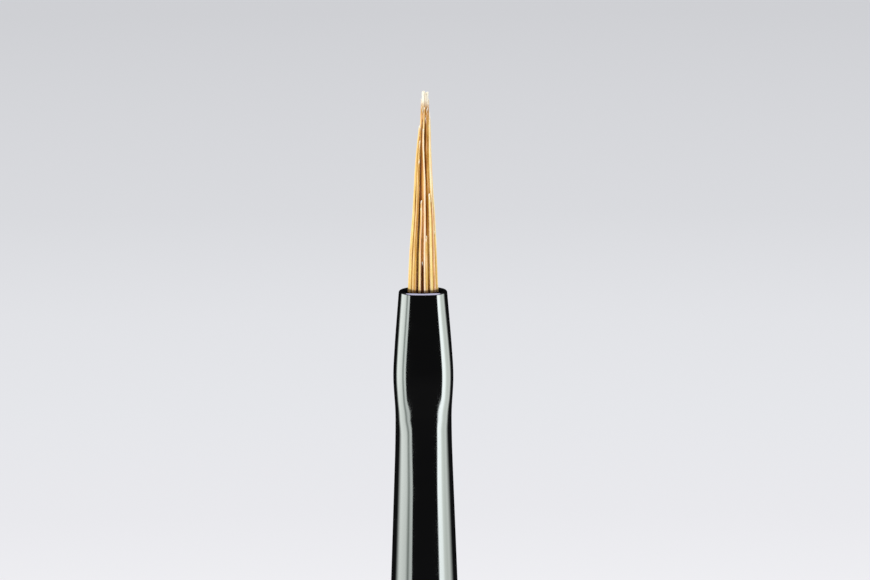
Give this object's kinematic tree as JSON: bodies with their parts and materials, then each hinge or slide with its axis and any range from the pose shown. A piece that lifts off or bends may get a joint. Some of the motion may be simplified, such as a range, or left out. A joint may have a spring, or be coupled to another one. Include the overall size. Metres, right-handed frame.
{
  "type": "fine detail brush",
  "caption": "Fine detail brush: a round pointed hair tuft in a slim polished black metal ferrule, crimped on a long turned and lacquered wooden handle.",
  "frame": {"origin": "on the brush's axis at the fattest part of the handle, where fingers hold it", "axes": "+Z along the brush's axis towards the hair's point, X and Y across it; the brush is round, so which way they point makes no difference"},
  "size_m": [0.0066, 0.0066, 0.175],
  "materials": {
    "hair": "satin",
    "ferrule_black": "polished",
    "handle_lacquer": "gloss",
    "thread": "matte",
    "root_resin": "gloss",
    "handle_adhesive": "satin"
  },
  "bodies": {
    "root": {"point_hairs": "hair", "belly_hairs": "hair", "outer_hairs": "hair", "root_thread": "thread", "root_glue": "root_resin", "ferrule": "ferrule_black", "handle_glue": "handle_adhesive", "handle": "handle_lacquer"}
  },
  "joints": []
}
